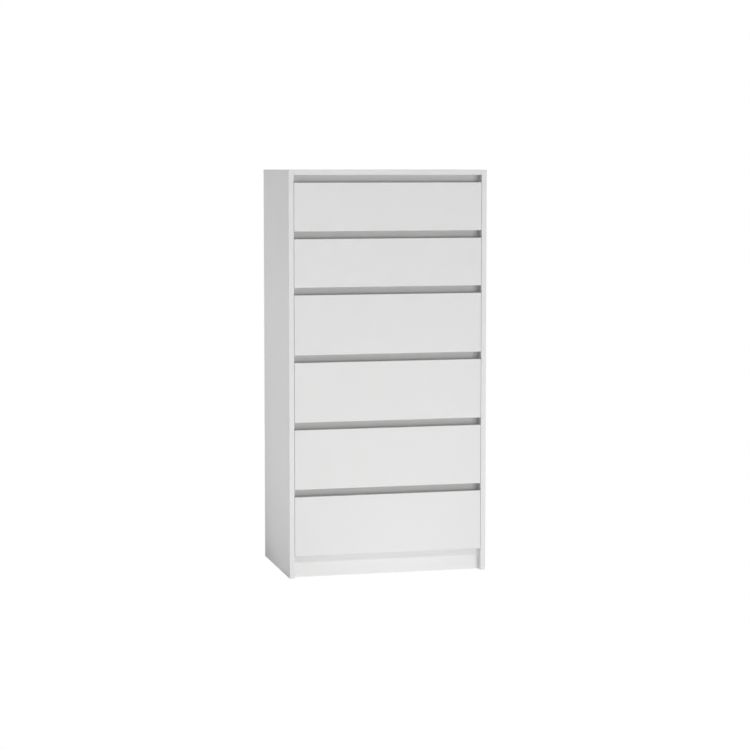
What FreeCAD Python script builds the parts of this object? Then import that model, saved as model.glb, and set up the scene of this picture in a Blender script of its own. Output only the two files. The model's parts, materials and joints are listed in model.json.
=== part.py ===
import FreeCAD, Part
import os

# A tall, handle-less chest of six drawers in white laminated particle board.
# Millimetres, +Z up. The origin is on the floor, under the middle of the chest.
# The drawer fronts face -Y, and +X is to the right of somebody who looks at them.

# ---------------------------------------------------------------- driving sizes
WIDTH = 600.0
DEPTH = 380.0
HEIGHT = 1200.0
BOARD = 15.0                 # carcass boards, rails and drawer fronts
BOX_BOARD = 12.0             # drawer sides and backs
SHEET = 3.0                  # hardboard of the back and of the drawer bottoms
EDGE_RADIUS = 0.8            # rounding of the banded edges
SEAM_RADIUS = 0.4            # rounding where the top panel meets a side panel

FINGER_GAP = 22.0            # open strip above each front, where the fingers go in
SHALLOW_FRONT = 142.0
DEEP_FRONT = 176.0
FRONT_HEIGHTS = [SHALLOW_FRONT] * 2 + [DEEP_FRONT] * 4     # from the top down
SIDE_GAP = 0.8               # between a front and the side panel next to it

RAIL_HEIGHT = 50.0
RAIL_SETBACK = 40.0          # from the face of the fronts to the face of a rail
RAIL_OVERLAP = 3.0           # how far a rail rises behind the front above it
PLINTH_SETBACK = 22.0
BOTTOM_UNDERSIDE = 46.0      # height of the bottom panel's lower face

SHEET_PLAY = 0.1             # between a sheet and each wall of its groove
GROOVE_WIDTH = SHEET + 2 * SHEET_PLAY
GROOVE_DEPTH = 6.0
BACK_GROOVE_INSET = 8.0      # from the rear edges to the groove of the back panel
BACK_OVERHANG = 6.0          # of the back panel below the bottom panel

BOX_LIFT = 8.0               # from a front's lower edge to the lower edge of its box
SHALLOW_BOX = 100.0
DEEP_BOX = 136.0
BOX_LENGTH = 342.0
BOTTOM_LIFT = 10.0           # from a box's lower edge to its bottom groove
BOX_GROOVE_DEPTH = 5.0
RUNNER_SPACE = 12.7          # between a drawer side and the side panel

# ---------------------------------------------------------------- runners
STEEL = 1.2
RUNNER_LENGTH = 340.0
RUNNER_REAR_INSET = 20.0     # from the rear edges of the side panels to the channels
CHANNEL_HEIGHT = 24.0
CHANNEL_DEPTH = 9.0
CHANNEL_DROP = 4.0           # from a box's lower edge down to its channel's lower face
WEB_HEIGHT = 18.0            # of the drawer's own profile, above the box's lower edge
FLANGE_REACH = 6.5           # from that profile's web towards the side panel
GLIDE_LENGTH = 28.0
GLIDE_PLAY = 0.3
GLIDE_WALL = 1.2
TRAVEL = 280.0               # the glides meet just beyond this
STOP_PLAY = 0.5
RUNNER_SCREW_INSETS = [60.0, 190.0, 310.0]     # from the front end of a runner

# ---------------------------------------------------------------- fittings
CAM_RADIUS = 7.4
CAM_HOLE_RADIUS = 7.5
CAM_HEIGHT = 11.5
CAM_HOLE_DEPTH = 12.0
CAM_INSET = 34.0             # from a board's end to the cam's axis
BOLT_RADIUS = 3.3
BOLT_HOLE_RADIUS = 3.5
BOLT_NECK_RADIUS = 2.0
BOLT_HEAD_LENGTH = 3.5
BOLT_NECK_LENGTH = 4.5
BOLT_THREAD_RADIUS = 2.45
THREAD_HOLE_RADIUS = 2.5
BOLT_THREAD_LENGTH = 11.0
DOWEL_RADIUS = 3.95
DOWEL_HOLE_RADIUS = 4.0
DOWEL_LENGTH = 30.0
DOWEL_IN_SIDE = 11.0
HOLE_SPARE = 0.5             # extra depth at the end of a blind hole or groove
RAIL_CAM_DROP = 16.0         # from a rail's upper edge to its cams
RAIL_DOWEL_DROP = 36.0
PLINTH_CAM_HEIGHT = 20.0
PLINTH_DOWEL_HEIGHT = 46.0
FLAT_CAM_PLACES = [-100.0, 110.0]        # y, in the top and the bottom
FLAT_DOWEL_PLACES = [-68.0, 142.0]
TOP_FRONT_DOWEL = -165.0                 # y of one more dowel, near the top's front edge
SCREW_RADIUS = 1.7
SCREW_HOLE_RADIUS = 1.75
SCREW_LENGTH = 11.0
SCREW_HEAD_RADIUS = 3.4
SCREW_HEAD_HEIGHT = 1.4
SCREW_CLEARANCE_RADIUS = 2.0
BOX_SCREW_RADIUS = 2.0       # the long screws through a drawer side into the box's back
BOX_SCREW_HOLE_RADIUS = 2.05
BOX_SCREW_LENGTH = 35.0
BOX_SCREW_HEAD_RADIUS = 3.6
BOX_SCREW_HEAD_HEIGHT = 2.4
BOX_SCREW_HEAD_PLAY = 0.1    # between a sunk head and its seat
SMALL_SCREW = (SCREW_RADIUS, SCREW_HEAD_RADIUS, SCREW_HEAD_HEIGHT)
LONG_SCREW = (BOX_SCREW_RADIUS, BOX_SCREW_HEAD_RADIUS, BOX_SCREW_HEAD_HEIGHT)
HEAD_TAPER = 0.8             # top of a screw head, in head radii
POINT_TAPER = 0.35           # end of a screw's point, in shank radii
DRIVE_SLOT_WIDTH = 1.0       # of the cross in a cam, and its depth
DRIVE_SLOT_SHARE = 0.6       # half the cross's length, in cam radii
MOUTH_PLAY = 0.3             # around a bolt, where it enters its cam
DOWEL_CHAMFER = 0.8
DRAWER_CAM_HEIGHT = 9.5      # in the thinner boards of the drawers
DRAWER_CAM_HOLE = 10.0
DRAWER_CAM_INSET = 24.0
DRAWER_CAM_RISE = 42.0       # from the edge of a drawer side to a cam
BACK_SCREW_RISE = 28.0
BACK_SCREW_DROP = 16.0
BOX_RUNNER_SCREW_RISE = 13.5
BOX_RUNNER_SCREW_REACH = 6.5
BOX_RUNNER_SCREW_INSETS = [30.0, 160.0, 290.0]   # from the front end of a profile

# ---------------------------------------------------------------- wall brackets
BRACKET_X = 200.0            # each side of the middle
BRACKET_WIDTH = 20.0
BRACKET_LEG = 40.0
BRACKET_STEEL = 2.0
WALL_HOLE_RADIUS = 2.75
WALL_HOLE_DROP = 26.0        # from the top panel's underside to the wall screw
BRACKET_SCREW_INSETS = [8.0, 24.0]       # from the bracket's front end

# ---------------------------------------------------------------- worked-out places
HALF = WIDTH / 2
INSIDE = HALF - BOARD                        # x of a side panel's inner face
FRONT = -DEPTH / 2
REAR = DEPTH / 2
FRONT_BACK = FRONT + BOARD                   # y of the hidden face of a drawer front
TOP_UNDERSIDE = HEIGHT - BOARD
RAIL_FACE = FRONT + RAIL_SETBACK
PLINTH_FACE = FRONT + PLINTH_SETBACK
PLINTH_HEIGHT = TOP_UNDERSIDE - sum(FRONT_HEIGHTS) - FINGER_GAP * len(FRONT_HEIGHTS)
GROOVE_REAR = REAR - BACK_GROOVE_INSET
GROOVE_FRONT = GROOVE_REAR - GROOVE_WIDTH
BOX_OUTSIDE = INSIDE - RUNNER_SPACE          # x of a drawer side's outer face
BOX_INSIDE = BOX_OUTSIDE - BOX_BOARD
BOX_REAR = FRONT_BACK + BOX_LENGTH
RUNNER_REAR = REAR - RUNNER_REAR_INSET
RUNNER_FRONT = RUNNER_REAR - RUNNER_LENGTH
PROFILE_REAR = BOX_REAR
PROFILE_FRONT = PROFILE_REAR - RUNNER_LENGTH
FLANGE_TIP = BOX_OUTSIDE + STEEL + FLANGE_REACH
REAR_GLIDE_FRONT = PROFILE_REAR - GLIDE_LENGTH
FRONT_GLIDE_REAR = REAR_GLIDE_FRONT - TRAVEL - STOP_PLAY


# ---------------------------------------------------------------- shape helpers
def block(x_span, y_span, z_span):
    """A box between the two values of each span, in either order."""
    low = FreeCAD.Vector(min(x_span), min(y_span), min(z_span))
    high = FreeCAD.Vector(max(x_span), max(y_span), max(z_span))
    size = high - low
    return Part.makeBox(size.x, size.y, size.z, low)


def rod(start, end, radius):
    """A cylinder from one point to another."""
    base = FreeCAD.Vector(*start)
    along = FreeCAD.Vector(*end) - base
    return Part.makeCylinder(radius, along.Length, base, along)


def cone(start, end, start_radius, end_radius):
    """A cone or its frustum from one point to another."""
    base = FreeCAD.Vector(*start)
    along = FreeCAD.Vector(*end) - base
    return Part.makeCone(start_radius, end_radius, along.Length, base, along)


def cut_all(shape, tools):
    """The shape with every tool taken out of it."""
    return shape.cut(tools) if tools else shape


def round_edges(shape, wanted, radius=EDGE_RADIUS):
    """Round the straight edges whose two ends both pass the test."""
    edges = [edge for edge in shape.Edges if all(wanted(vertex.Point) for vertex in edge.Vertexes)]
    return shape.makeFillet(radius, edges)


def at(value, target):
    """Whether two lengths are the same."""
    return abs(value - target) < 0.001


def mirrored(shape):
    """The same piece on the other side of the chest."""
    return shape.mirror(FreeCAD.Vector(0, 0, 0), FreeCAD.Vector(1, 0, 0))


def both_sides(shapes):
    """The pieces made for the right, and their mirror images for the left."""
    return shapes + [mirrored(shape) for shape in shapes]


def save(name, solids):
    """Write one node, made of one or more separate solids."""
    shape = solids[0] if len(solids) == 1 else Part.makeCompound(solids)
    shape.exportStep("parts/" + name + ".step")


# ---------------------------------------------------------------- places of the boards
def front_spans():
    """Lower and upper edge of each drawer front, from the top drawer down."""
    spans = []
    top = TOP_UNDERSIDE
    for height in FRONT_HEIGHTS:
        top -= FINGER_GAP
        spans.append((top - height, top))
        top -= height
    return spans


def box_span(number):
    """Lower and upper edge of a drawer's box."""
    low = front_spans()[number][0] + BOX_LIFT
    height = SHALLOW_BOX if at(FRONT_HEIGHTS[number], SHALLOW_FRONT) else DEEP_BOX
    return low, low + height


def rail_span(number):
    """Lower and upper edge of the rail behind a drawer's finger gap."""
    gap_top = front_spans()[number][1] + FINGER_GAP
    top = min(gap_top + RAIL_OVERLAP, TOP_UNDERSIDE)
    return top - RAIL_HEIGHT, top


def channel_low(number):
    """Height of the lower face of a drawer's runner channels."""
    return box_span(number)[0] - CHANNEL_DROP


# ---------------------------------------------------------------- how the carcass is held
# A station is the (y, z) of a fitting in the joint between a board's end and a side panel.
def cam_stations():
    """Each station of a cam and its bolt, with the way from the bolt to the cam's open end."""
    behind = (0, 1)
    below = (0, -1)
    rail_y = RAIL_FACE + BOARD / 2
    stations = []
    for number in range(len(FRONT_HEIGHTS)):
        stations.append(((rail_y, rail_span(number)[1] - RAIL_CAM_DROP), behind))
    stations.append(((PLINTH_FACE + BOARD / 2, PLINTH_CAM_HEIGHT), behind))
    for board_z in (TOP_UNDERSIDE + BOARD / 2, BOTTOM_UNDERSIDE + BOARD / 2):
        stations += [((y, board_z), below) for y in FLAT_CAM_PLACES]
    return stations


def dowel_stations():
    """Each station of a wooden dowel."""
    rail_y = RAIL_FACE + BOARD / 2
    stations = []
    for number in range(len(FRONT_HEIGHTS)):
        stations.append((rail_y, rail_span(number)[1] - RAIL_DOWEL_DROP))
    stations.append((PLINTH_FACE + BOARD / 2, PLINTH_DOWEL_HEIGHT))
    for board_z in (TOP_UNDERSIDE + BOARD / 2, BOTTOM_UNDERSIDE + BOARD / 2):
        stations += [(y, board_z) for y in FLAT_DOWEL_PLACES]
    stations.append((TOP_FRONT_DOWEL, TOP_UNDERSIDE + BOARD / 2))
    return stations


def runner_screw_stations():
    """Each station of a screw that holds a runner channel to a side panel."""
    stations = []
    for number in range(len(FRONT_HEIGHTS)):
        z = channel_low(number) + CHANNEL_HEIGHT / 2
        stations += [(RUNNER_FRONT + inset, z) for inset in RUNNER_SCREW_INSETS]
    return stations


def end_holes():
    """Holes in the right ends of the carcass boards, for every cam, bolt and dowel."""
    holes = []
    cam_x = INSIDE - CAM_INSET
    for (y, z), (way_y, way_z) in cam_stations():
        holes.append(rod((INSIDE, y, z), (cam_x, y, z), BOLT_HOLE_RADIUS))
        mouth = BOARD / 2
        floor = CAM_HOLE_DEPTH - mouth
        open_end = (cam_x, y + way_y * mouth, z + way_z * mouth)
        closed_end = (cam_x, y - way_y * floor, z - way_z * floor)
        holes.append(rod(open_end, closed_end, CAM_HOLE_RADIUS))
    reach = DOWEL_LENGTH - DOWEL_IN_SIDE + HOLE_SPARE
    for y, z in dowel_stations():
        holes.append(rod((INSIDE, y, z), (INSIDE - reach, y, z), DOWEL_HOLE_RADIUS))
    return holes


def drilled(board):
    """A carcass board with the end holes that fall in it, at both ends."""
    holes = both_sides(end_holes())
    inside = [hole for hole in holes if board.BoundBox.isInside(hole.BoundBox.Center)]
    return cut_all(board, inside)


# ---------------------------------------------------------------- carcass
def side_panel():
    """The right side panel: full height, grooved for the back and drilled on its inner face."""
    panel = block((INSIDE, HALF), (FRONT, REAR), (0, HEIGHT))
    panel = round_edges(panel, lambda p: at(p.x, INSIDE) and at(p.z, HEIGHT), SEAM_RADIUS)
    panel = round_edges(panel, lambda p: at(p.x, HALF) and at(p.z, HEIGHT))
    panel = round_edges(panel, lambda p: at(p.y, FRONT))
    panel = round_edges(panel, lambda p: at(p.y, REAR))
    groove_x = (INSIDE, INSIDE + GROOVE_DEPTH)
    groove = block(groove_x, (GROOVE_FRONT, GROOVE_REAR), (0, TOP_UNDERSIDE + GROOVE_DEPTH))
    holes = [groove]
    for (y, z), _ in cam_stations():
        floor = (INSIDE + BOLT_THREAD_LENGTH + HOLE_SPARE, y, z)
        holes.append(rod((INSIDE, y, z), floor, THREAD_HOLE_RADIUS))
    for y, z in dowel_stations():
        holes.append(rod((INSIDE, y, z), (INSIDE + DOWEL_IN_SIDE + HOLE_SPARE, y, z), DOWEL_HOLE_RADIUS))
    for y, z in runner_screw_stations():
        holes.append(rod((INSIDE, y, z), (INSIDE + SCREW_LENGTH + HOLE_SPARE, y, z), SCREW_HOLE_RADIUS))
    return cut_all(panel, holes)


def top_panel():
    """The top, between the side panels and flush with them, grooved below for the back."""
    board = block((-INSIDE, INSIDE), (FRONT, REAR), (TOP_UNDERSIDE, HEIGHT))
    board = round_edges(board, lambda p: at(p.x, -INSIDE) and at(p.z, HEIGHT), SEAM_RADIUS)
    board = round_edges(board, lambda p: at(p.x, INSIDE) and at(p.z, HEIGHT), SEAM_RADIUS)
    board = round_edges(board, lambda p: at(p.y, FRONT))
    board = round_edges(board, lambda p: at(p.y, REAR))
    groove_top = TOP_UNDERSIDE + GROOVE_DEPTH
    groove = block((-INSIDE, INSIDE), (GROOVE_FRONT, GROOVE_REAR), (TOP_UNDERSIDE, groove_top))
    screws = [bracket_screw_hole(x, y) for x in (-BRACKET_X, BRACKET_X) for y in bracket_screw_places()]
    return drilled(cut_all(board, [groove] + screws))


def bottom_panel():
    """The bottom, from the plinth to the back panel."""
    y_span = (PLINTH_FACE + BOARD, GROOVE_FRONT)
    board = block((-INSIDE, INSIDE), y_span, (BOTTOM_UNDERSIDE, BOTTOM_UNDERSIDE + BOARD))
    return drilled(board)


def plinth():
    """The board under the lowest drawer, set back from the fronts."""
    board = block((-INSIDE, INSIDE), (PLINTH_FACE, PLINTH_FACE + BOARD), (0, PLINTH_HEIGHT))
    return drilled(board)


def cross_rail(number):
    """The upright rail across the chest behind one finger gap."""
    board = block((-INSIDE, INSIDE), (RAIL_FACE, RAIL_FACE + BOARD), rail_span(number))
    long_low_edge = rail_span(number)[0]
    board = round_edges(board, lambda p: at(p.z, long_low_edge) and at(p.y, RAIL_FACE))
    return drilled(board)


def back_panel():
    """The hardboard back in its grooves, with a hole for each wall screw."""
    half = INSIDE + GROOVE_DEPTH - HOLE_SPARE
    y_span = (GROOVE_FRONT + SHEET_PLAY, GROOVE_REAR - SHEET_PLAY)
    z_span = (BOTTOM_UNDERSIDE - BACK_OVERHANG, TOP_UNDERSIDE + GROOVE_DEPTH - HOLE_SPARE)
    sheet = block((-half, half), y_span, z_span)
    z = TOP_UNDERSIDE - WALL_HOLE_DROP
    holes = [rod((x, y_span[0], z), (x, y_span[1], z), WALL_HOLE_RADIUS) for x in (-BRACKET_X, BRACKET_X)]
    return cut_all(sheet, holes)


# ---------------------------------------------------------------- runners
def flange_low(number):
    """Height of the lower face of the drawer profile's flange, inside the channel."""
    return channel_low(number) + (CHANNEL_HEIGHT - STEEL) / 2


def cabinet_runner(number):
    """A right-hand channel with its front glide, as two solids that touch."""
    low = channel_low(number)
    high = low + CHANNEL_HEIGHT
    y_span = (RUNNER_FRONT, RUNNER_REAR)
    open_x = INSIDE - CHANNEL_DEPTH
    web_x = INSIDE - STEEL
    channel = block((open_x, INSIDE), y_span, (low, high))
    hollow = block((open_x, web_x), y_span, (low + STEEL, high - STEEL))
    z = low + CHANNEL_HEIGHT / 2
    holes = []
    for inset in RUNNER_SCREW_INSETS:
        y = RUNNER_FRONT + inset
        holes.append(rod((web_x, y, z), (INSIDE, y, z), SCREW_CLEARANCE_RADIUS))
    channel = cut_all(channel, [hollow] + holes)

    glide_y = (RUNNER_FRONT, FRONT_GLIDE_REAR)
    glide = block((open_x, web_x), glide_y, (low + STEEL, high - STEEL))
    slot_low = flange_low(number) - GLIDE_PLAY
    slot_high = flange_low(number) + STEEL + GLIDE_PLAY
    slot = block((open_x, FLANGE_TIP + GLIDE_WALL), glide_y, (slot_low, slot_high))
    return [channel, glide.cut(slot)]


def drawer_runner(number):
    """A right-hand drawer profile with its rear glide, as two solids that touch."""
    box_low = box_span(number)[0]
    y_span = (PROFILE_FRONT, PROFILE_REAR)
    web_x = BOX_OUTSIDE + STEEL
    web = block((BOX_OUTSIDE, web_x), y_span, (box_low - STEEL, box_low + WEB_HEIGHT))
    lip = block((BOX_INSIDE, BOX_OUTSIDE), y_span, (box_low - STEEL, box_low))
    flange_z = (flange_low(number), flange_low(number) + STEEL)
    flange = block((web_x, FLANGE_TIP), y_span, flange_z)
    z = box_low + BOX_RUNNER_SCREW_RISE
    holes = []
    for y in box_runner_screw_places():
        holes.append(rod((BOX_OUTSIDE, y, z), (web_x, y, z), SCREW_CLEARANCE_RADIUS))
    profile = cut_all(web.fuse([lip, flange]).removeSplitter(), holes)

    low = channel_low(number) + STEEL + GLIDE_PLAY
    high = channel_low(number) + CHANNEL_HEIGHT - STEEL - GLIDE_PLAY
    glide_y = (REAR_GLIDE_FRONT, PROFILE_REAR)
    glide = block((INSIDE - CHANNEL_DEPTH, FLANGE_TIP + GLIDE_WALL), glide_y, (low, high))
    return [profile, glide.cut(block((web_x, FLANGE_TIP), glide_y, flange_z))]


def box_runner_screw_places():
    """y of each small screw that holds a drawer's own profile."""
    return [PROFILE_FRONT + inset for inset in BOX_RUNNER_SCREW_INSETS]


# ---------------------------------------------------------------- drawers
def drawer_cam_heights(number):
    """Height of each cam that holds a drawer side to its front."""
    low, high = box_span(number)
    if high - low > SHALLOW_BOX:
        return [low + DRAWER_CAM_RISE, high - DRAWER_CAM_RISE]
    return [low + DRAWER_CAM_RISE]


def back_screw_heights(number):
    """Height of the two screws through a drawer side into the box's back."""
    low, high = box_span(number)
    return [low + BACK_SCREW_RISE, high - BACK_SCREW_DROP]


def drawer_front(number):
    """A drawer front, rounded all round its face, grooved and drilled at the back."""
    half = INSIDE - SIDE_GAP
    board = block((-half, half), (FRONT, FRONT_BACK), front_spans()[number])
    board = round_edges(board, lambda p: at(p.y, FRONT))
    groove_low = box_span(number)[0] + BOTTOM_LIFT
    groove_half = BOX_INSIDE + BOX_GROOVE_DEPTH
    groove_y = (FRONT_BACK - BOX_GROOVE_DEPTH, FRONT_BACK)
    holes = [block((-groove_half, groove_half), groove_y, (groove_low, groove_low + GROOVE_WIDTH))]
    x = BOX_OUTSIDE - BOX_BOARD / 2
    deep = FRONT_BACK - BOLT_THREAD_LENGTH - HOLE_SPARE
    for side in (-1, 1):
        for z in drawer_cam_heights(number):
            holes.append(rod((side * x, FRONT_BACK, z), (side * x, deep, z), THREAD_HOLE_RADIUS))
    return cut_all(board, holes)


def drawer_side(number):
    """The right side of a drawer's box."""
    low, high = box_span(number)
    board = block((BOX_INSIDE, BOX_OUTSIDE), (FRONT_BACK, BOX_REAR), (low, high))
    board = round_edges(board, lambda p: at(p.z, high) and (at(p.x, BOX_INSIDE) or at(p.x, BOX_OUTSIDE)))
    groove_low = low + BOTTOM_LIFT
    groove_x = (BOX_INSIDE, BOX_INSIDE + BOX_GROOVE_DEPTH)
    holes = [block(groove_x, (FRONT_BACK, BOX_REAR), (groove_low, groove_low + GROOVE_WIDTH))]
    x = BOX_OUTSIDE - BOX_BOARD / 2
    cam_y = FRONT_BACK + DRAWER_CAM_INSET
    for z in drawer_cam_heights(number):
        holes.append(rod((x, FRONT_BACK, z), (x, cam_y, z), BOLT_HOLE_RADIUS))
        floor = (BOX_OUTSIDE - DRAWER_CAM_HOLE, cam_y, z)
        holes.append(rod((BOX_OUTSIDE, cam_y, z), floor, CAM_HOLE_RADIUS))
    for z in back_screw_heights(number):
        y = BOX_REAR - BOX_BOARD / 2
        holes.append(rod((BOX_INSIDE, y, z), (BOX_OUTSIDE, y, z), BOX_SCREW_HOLE_RADIUS))
        sink = BOX_OUTSIDE - BOX_SCREW_HEAD_HEIGHT
        holes.append(rod((sink, y, z), (BOX_OUTSIDE, y, z), BOX_SCREW_HEAD_RADIUS + BOX_SCREW_HEAD_PLAY))
    z = low + BOX_RUNNER_SCREW_RISE
    for y in box_runner_screw_places():
        floor = (BOX_OUTSIDE - BOX_RUNNER_SCREW_REACH, y, z)
        holes.append(rod((BOX_OUTSIDE, y, z), floor, SCREW_HOLE_RADIUS))
    return cut_all(board, holes)


def drawer_back(number):
    """The back of a drawer's box, between its sides and on its bottom."""
    low, high = box_span(number)
    foot = low + BOTTOM_LIFT + GROOVE_WIDTH
    board = block((-BOX_INSIDE, BOX_INSIDE), (BOX_REAR - BOX_BOARD, BOX_REAR), (foot, high))
    board = round_edges(board, lambda p: at(p.z, high) and at(p.y, BOX_REAR))
    board = round_edges(board, lambda p: at(p.z, high) and at(p.y, BOX_REAR - BOX_BOARD))
    holes = []
    reach = BOX_SCREW_LENGTH - BOX_BOARD + HOLE_SPARE
    y = BOX_REAR - BOX_BOARD / 2
    for side in (-1, 1):
        for z in back_screw_heights(number):
            start = (side * BOX_INSIDE, y, z)
            holes.append(rod(start, (side * (BOX_INSIDE - reach), y, z), BOX_SCREW_HOLE_RADIUS))
    return cut_all(board, holes)


def drawer_bottom(number):
    """The hardboard bottom, in the grooves of the front and the two sides."""
    groove_low = box_span(number)[0] + BOTTOM_LIFT
    half = BOX_INSIDE + BOX_GROOVE_DEPTH - HOLE_SPARE
    y_span = (FRONT_BACK - BOX_GROOVE_DEPTH + HOLE_SPARE, BOX_REAR)
    return block((-half, half), y_span, (groove_low + SHEET_PLAY, groove_low + GROOVE_WIDTH - SHEET_PLAY))


# ---------------------------------------------------------------- fittings
def frame_point(origin, along, distance):
    """The point at a distance from the origin along a direction."""
    return tuple(start + step * distance for start, step in zip(origin, along))


def cam(centre, way, bolt_way, board, height):
    """A cam disc flush with its board's face, open on the side that the bolt comes in by."""
    top = frame_point(centre, way, board / 2)
    disc = rod(frame_point(top, way, -height), top, CAM_RADIUS)
    mouth_end = frame_point(centre, bolt_way, CAM_HOLE_RADIUS)
    mouth = rod(frame_point(centre, bolt_way, -BOLT_RADIUS), mouth_end, BOLT_RADIUS + MOUTH_PLAY)
    across = FreeCAD.Vector(*way).cross(FreeCAD.Vector(*bolt_way))
    slots = []
    for direction in (across, FreeCAD.Vector(*bolt_way)):
        half_slot = direction * (CAM_RADIUS * DRIVE_SLOT_SHARE)
        thickness = FreeCAD.Vector(*way).cross(direction) * DRIVE_SLOT_WIDTH
        corner = FreeCAD.Vector(*top) - half_slot - thickness / 2
        face = Part.makePolygon([
            corner,
            corner + half_slot * 2,
            corner + half_slot * 2 + thickness,
            corner + thickness,
            corner,
        ])
        slots.append(Part.Face(face).extrude(FreeCAD.Vector(*way) * -DRIVE_SLOT_WIDTH))
    return disc.cut([mouth] + slots)


def cam_bolt(root, way, head_end):
    """A cam bolt: thread behind the root point, and shaft, neck and head ahead of it."""
    neck_start = head_end - BOLT_HEAD_LENGTH - BOLT_NECK_LENGTH
    neck_end = head_end - BOLT_HEAD_LENGTH
    pieces = [
        rod(frame_point(root, way, -BOLT_THREAD_LENGTH), root, BOLT_THREAD_RADIUS),
        rod(root, frame_point(root, way, neck_start), BOLT_RADIUS),
        rod(frame_point(root, way, neck_start), frame_point(root, way, neck_end), BOLT_NECK_RADIUS),
        rod(frame_point(root, way, neck_end), frame_point(root, way, head_end), BOLT_RADIUS),
    ]
    return pieces[0].fuse(pieces[1:])


def screw(head_face, way, length, size):
    """A screw whose head rests on the given point, with its shank along the given way."""
    radius, head_radius, head_height = size
    head_top = frame_point(head_face, way, -head_height)
    head = cone(head_face, head_top, head_radius, head_radius * HEAD_TAPER)
    shank_end = frame_point(head_face, way, length - radius)
    shank = rod(head_face, shank_end, radius)
    tip = cone(shank_end, frame_point(head_face, way, length), radius, radius * POINT_TAPER)
    return head.fuse([shank, tip])


def cam_fittings():
    """Every cam and bolt that holds the carcass boards to the side panels."""
    pieces = []
    for (y, z), (way_y, way_z) in cam_stations():
        centre = (INSIDE - CAM_INSET, y, z)
        pieces.append(cam(centre, (0, way_y, way_z), (1, 0, 0), BOARD, CAM_HEIGHT))
        pieces.append(cam_bolt((INSIDE, y, z), (-1, 0, 0), CAM_INSET))
    return both_sides(pieces)


def dowels():
    """Every beech dowel, with chamfered ends."""
    pieces = []
    for y, z in dowel_stations():
        start = INSIDE + DOWEL_IN_SIDE
        dowel = rod((start, y, z), (start - DOWEL_LENGTH, y, z), DOWEL_RADIUS)
        rims = [edge for edge in dowel.Edges if edge.Curve.TypeId == "Part::GeomCircle"]
        pieces.append(dowel.makeChamfer(DOWEL_CHAMFER, rims))
    return both_sides(pieces)


def runner_screws():
    """Every screw through a runner channel into a side panel."""
    pieces = []
    for y, z in runner_screw_stations():
        head_face = (INSIDE - STEEL, y, z)
        pieces.append(screw(head_face, (1, 0, 0), SCREW_LENGTH, SMALL_SCREW))
    return both_sides(pieces)


def drawer_fittings(number):
    """The cams, bolts and screws of one drawer."""
    pieces = []
    x = BOX_OUTSIDE - BOX_BOARD / 2
    for z in drawer_cam_heights(number):
        centre = (x, FRONT_BACK + DRAWER_CAM_INSET, z)
        pieces.append(cam(centre, (1, 0, 0), (0, -1, 0), BOX_BOARD, DRAWER_CAM_HEIGHT))
        pieces.append(cam_bolt((x, FRONT_BACK, z), (0, 1, 0), DRAWER_CAM_INSET))
    for z in back_screw_heights(number):
        seat = (BOX_OUTSIDE - BOX_SCREW_HEAD_HEIGHT, BOX_REAR - BOX_BOARD / 2, z)
        length = BOX_SCREW_LENGTH - BOX_SCREW_HEAD_HEIGHT
        pieces.append(screw(seat, (-1, 0, 0), length, LONG_SCREW))
    z = box_span(number)[0] + BOX_RUNNER_SCREW_RISE
    for y in box_runner_screw_places():
        seat = (BOX_OUTSIDE + STEEL, y, z)
        reach = STEEL + BOX_RUNNER_SCREW_REACH - HOLE_SPARE
        pieces.append(screw(seat, (-1, 0, 0), reach, SMALL_SCREW))
    return both_sides(pieces)


# ---------------------------------------------------------------- wall brackets
def bracket_screw_places():
    """y of the two screws that hold a wall bracket to the top panel."""
    return [GROOVE_FRONT - BRACKET_LEG + inset for inset in BRACKET_SCREW_INSETS]


def bracket_screw_hole(x, y):
    """The pilot hole of one bracket screw in the top panel's underside."""
    return rod((x, y, TOP_UNDERSIDE), (x, y, TOP_UNDERSIDE + SCREW_LENGTH + HOLE_SPARE), SCREW_HOLE_RADIUS)


def wall_brackets():
    """Two steel angles under the top panel, against the back, each with its two screws."""
    pieces = []
    for middle in (-BRACKET_X, BRACKET_X):
        x_span = (middle - BRACKET_WIDTH / 2, middle + BRACKET_WIDTH / 2)
        long_y = (GROOVE_FRONT - BRACKET_LEG, GROOVE_FRONT)
        thin_y = (GROOVE_FRONT - BRACKET_STEEL, GROOVE_FRONT)
        under = block(x_span, long_y, (TOP_UNDERSIDE - BRACKET_STEEL, TOP_UNDERSIDE))
        upright = block(x_span, thin_y, (TOP_UNDERSIDE - BRACKET_LEG, TOP_UNDERSIDE))
        z = TOP_UNDERSIDE - WALL_HOLE_DROP
        holes = [rod((middle, thin_y[0], z), (middle, thin_y[1], z), WALL_HOLE_RADIUS)]
        for y in bracket_screw_places():
            bottom = (middle, y, TOP_UNDERSIDE - BRACKET_STEEL)
            holes.append(rod(bottom, (middle, y, TOP_UNDERSIDE), SCREW_CLEARANCE_RADIUS))
            reach = SCREW_LENGTH + BRACKET_STEEL
            pieces.append(screw(bottom, (0, 0, 1), reach, SMALL_SCREW))
        pieces.append(cut_all(under.fuse(upright).removeSplitter(), holes))
    return pieces


# ---------------------------------------------------------------- writing the nodes
def save_carcass():
    """Every node of the body that stands still."""
    right = side_panel()
    save("side_panel_right", [right])
    save("side_panel_left", [mirrored(right)])
    save("top_panel", [top_panel()])
    save("bottom_panel", [bottom_panel()])
    save("plinth", [plinth()])
    save("back_panel", [back_panel()])
    save("cam_fittings", cam_fittings())
    save("dowels", dowels())
    save("runner_screws", runner_screws())
    save("wall_brackets", wall_brackets())
    channels = []
    for number in range(len(FRONT_HEIGHTS)):
        save("cross_rail_%d" % (number + 1), [cross_rail(number)])
        channels += cabinet_runner(number)
    save("cabinet_runners_right", channels)
    save("cabinet_runners_left", [mirrored(shape) for shape in channels])


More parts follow.
